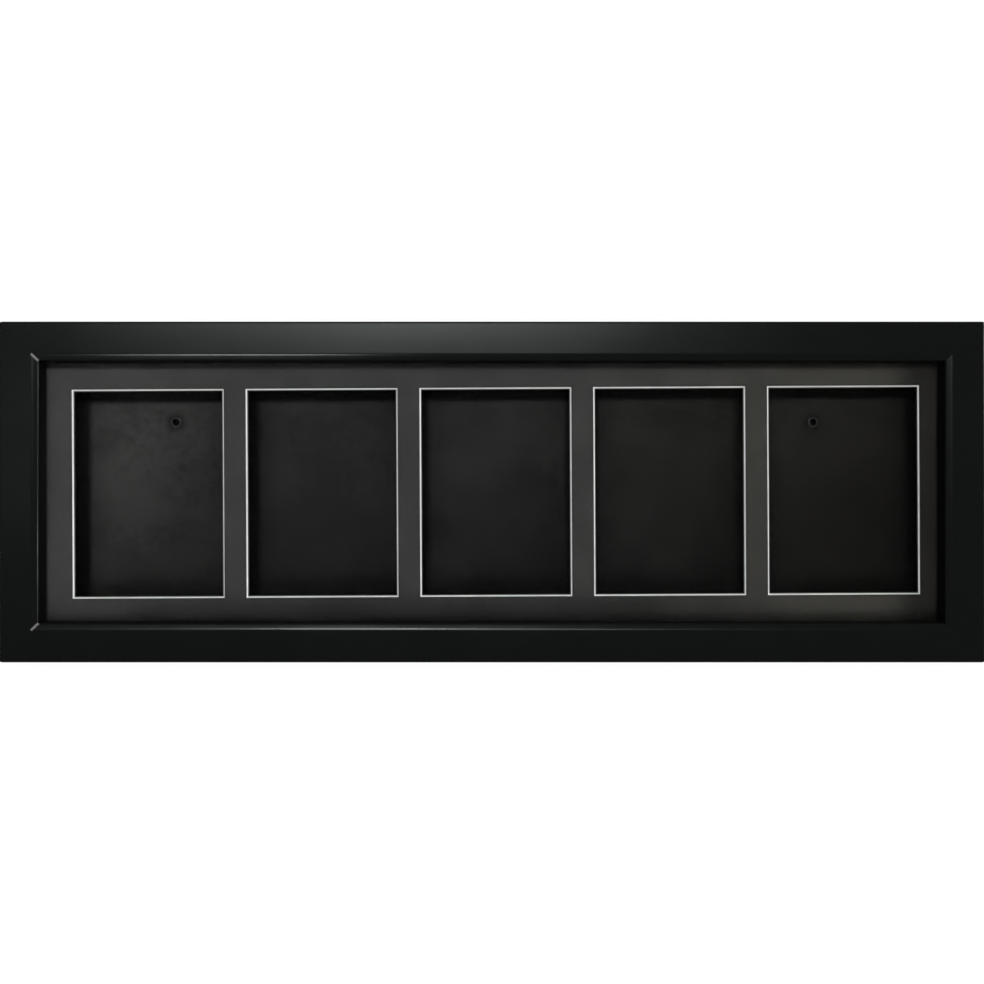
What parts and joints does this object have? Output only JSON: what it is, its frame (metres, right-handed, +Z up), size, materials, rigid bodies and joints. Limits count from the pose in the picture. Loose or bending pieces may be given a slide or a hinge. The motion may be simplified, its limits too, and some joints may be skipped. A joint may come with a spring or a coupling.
{
  "type": "trading card display frame",
  "caption": "Deep black box frame with glass, a mat with a row of card windows, a backing board held by turn buttons, and D-ring wall hangers.",
  "frame": {"origin": "on the floor under the middle of the whole object, as it stands on its bottom rail", "axes": "+X along the width, to the right as seen from the front; +Y from the front face to the back; +Z up"},
  "size_m": [0.422, 0.035, 0.146],
  "materials": {
    "lacquer": "black satin lacquer on wood",
    "nail_steel": "bare strip steel",
    "glass": "clear sheet",
    "mat": "black paper on white-cored board",
    "spacer": "black paper on foam board",
    "board": "hardboard, black on the front",
    "zinc": "bright zinc plate",
    "rivet": "blackened steel",
    "rubber": "soft black rubber"
  },
  "bodies": {
    "frame_body": {"rail_top": "lacquer", "rail_bottom": "lacquer", "rail_left": "lacquer", "rail_right": "lacquer", "v_nail_top_left": "nail_steel", "v_nail_top_right": "nail_steel", "v_nail_bottom_left": "nail_steel", "v_nail_bottom_right": "nail_steel", "glazing": "glass", "mat_board": "mat", "spacer_top": "spacer", "spacer_bottom": "spacer", "spacer_left": "spacer", "spacer_right": "spacer", "backing_board": "board", "hanger_strap_left": "zinc", "hanger_strap_right": "zinc", "hanger_rivet_left": "rivet", "hanger_rivet_right": "rivet", "button_screw_top_left": "zinc", "button_screw_top_right": "zinc", "button_screw_bottom_left": "zinc", "button_screw_bottom_right": "zinc", "button_screw_left": "zinc", "button_screw_right": "zinc", "bumper_left": "rubber", "bumper_right": "rubber"},
    "button_top_left": {"turn_button_top_left": "zinc"},
    "button_top_right": {"turn_button_top_right": "zinc"},
    "button_bottom_left": {"turn_button_bottom_left": "zinc"},
    "button_bottom_right": {"turn_button_bottom_right": "zinc"},
    "button_left": {"turn_button_left": "zinc"},
    "button_right": {"turn_button_right": "zinc"},
    "ring_left": {"d_ring_left": "zinc"},
    "ring_right": {"d_ring_right": "zinc"}
  },
  "joints": [
    {"name": "button_top_left_turn", "type": "hinge", "parent": "frame_body", "child": "button_top_left", "pos_m": [-0.075, 0.0133, 0.14053], "axis": [0, 1, 0], "continuous": true},
    {"name": "button_top_right_turn", "type": "hinge", "parent": "frame_body", "child": "button_top_right", "pos_m": [0.075, 0.0133, 0.14053], "axis": [0, 1, 0], "continuous": true},
    {"name": "button_bottom_left_turn", "type": "hinge", "parent": "frame_body", "child": "button_bottom_left", "pos_m": [-0.075, 0.0133, 0.00547], "axis": [0, 1, 0], "continuous": true},
    {"name": "button_bottom_right_turn", "type": "hinge", "parent": "frame_body", "child": "button_bottom_right", "pos_m": [0.075, 0.0133, 0.00547], "axis": [0, 1, 0], "continuous": true},
    {"name": "button_left_turn", "type": "hinge", "parent": "frame_body", "child": "button_left", "pos_m": [-0.20553, 0.0133, 0.073], "axis": [0, 1, 0], "continuous": true},
    {"name": "button_right_turn", "type": "hinge", "parent": "frame_body", "child": "button_right", "pos_m": [0.20553, 0.0133, 0.073], "axis": [0, 1, 0], "continuous": true},
    {"name": "ring_left_swing", "type": "hinge", "parent": "frame_body", "child": "ring_left", "pos_m": [-0.1421, 0.0147, 0.1234], "axis": [1, 0, 0], "range_deg": [0, 180]},
    {"name": "ring_right_swing", "type": "hinge", "parent": "frame_body", "child": "ring_right", "pos_m": [0.1443, 0.0147, 0.1234], "axis": [1, 0, 0], "range_deg": [0, 180]}
  ]
}
